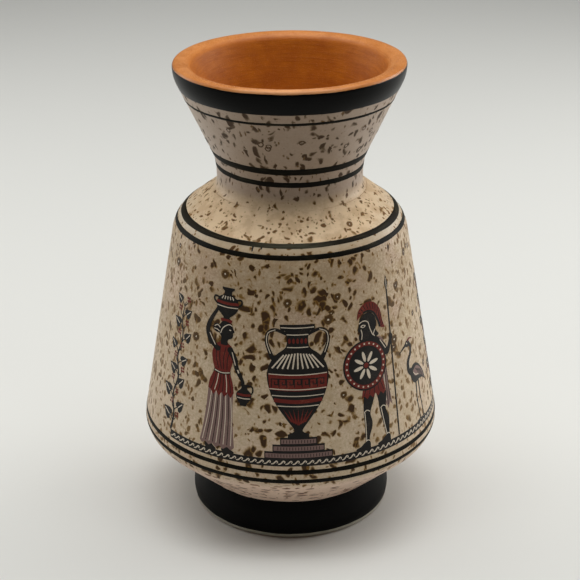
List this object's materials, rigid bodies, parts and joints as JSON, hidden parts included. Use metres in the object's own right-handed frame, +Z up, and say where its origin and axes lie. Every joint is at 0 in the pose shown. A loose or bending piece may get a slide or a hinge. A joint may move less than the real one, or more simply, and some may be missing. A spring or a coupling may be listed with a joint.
{
  "type": "vase",
  "caption": "Free-standing pottery vase with a turned foot, a tapering round-shouldered body and a flared neck, speckled outside and banded with painted lines.",
  "frame": {"origin": "centre of the foot's resting face", "axes": "+Z up along the axis of revolution, towards the mouth; X and Y are alike"},
  "size_m": [0.1054, 0.1054, 0.1649],
  "materials": {
    "terracotta": "bare fired clay, matte",
    "speckled_glaze": "satin, cream with brown specks",
    "black_paint": "satin black"
  },
  "bodies": {
    "root": {"foot_ring": "terracotta", "body_shell": "terracotta", "neck_collar": "terracotta", "speckled_glaze": "speckled_glaze", "rim_band": "black_paint", "neck_fine_line": "black_paint", "neck_broad_line": "black_paint", "neck_lower_line": "black_paint", "shoulder_inner_line": "black_paint", "shoulder_outer_line": "black_paint", "belly_upper_line": "black_paint", "belly_lower_line": "black_paint", "foot_band": "black_paint"}
  },
  "joints": []
}
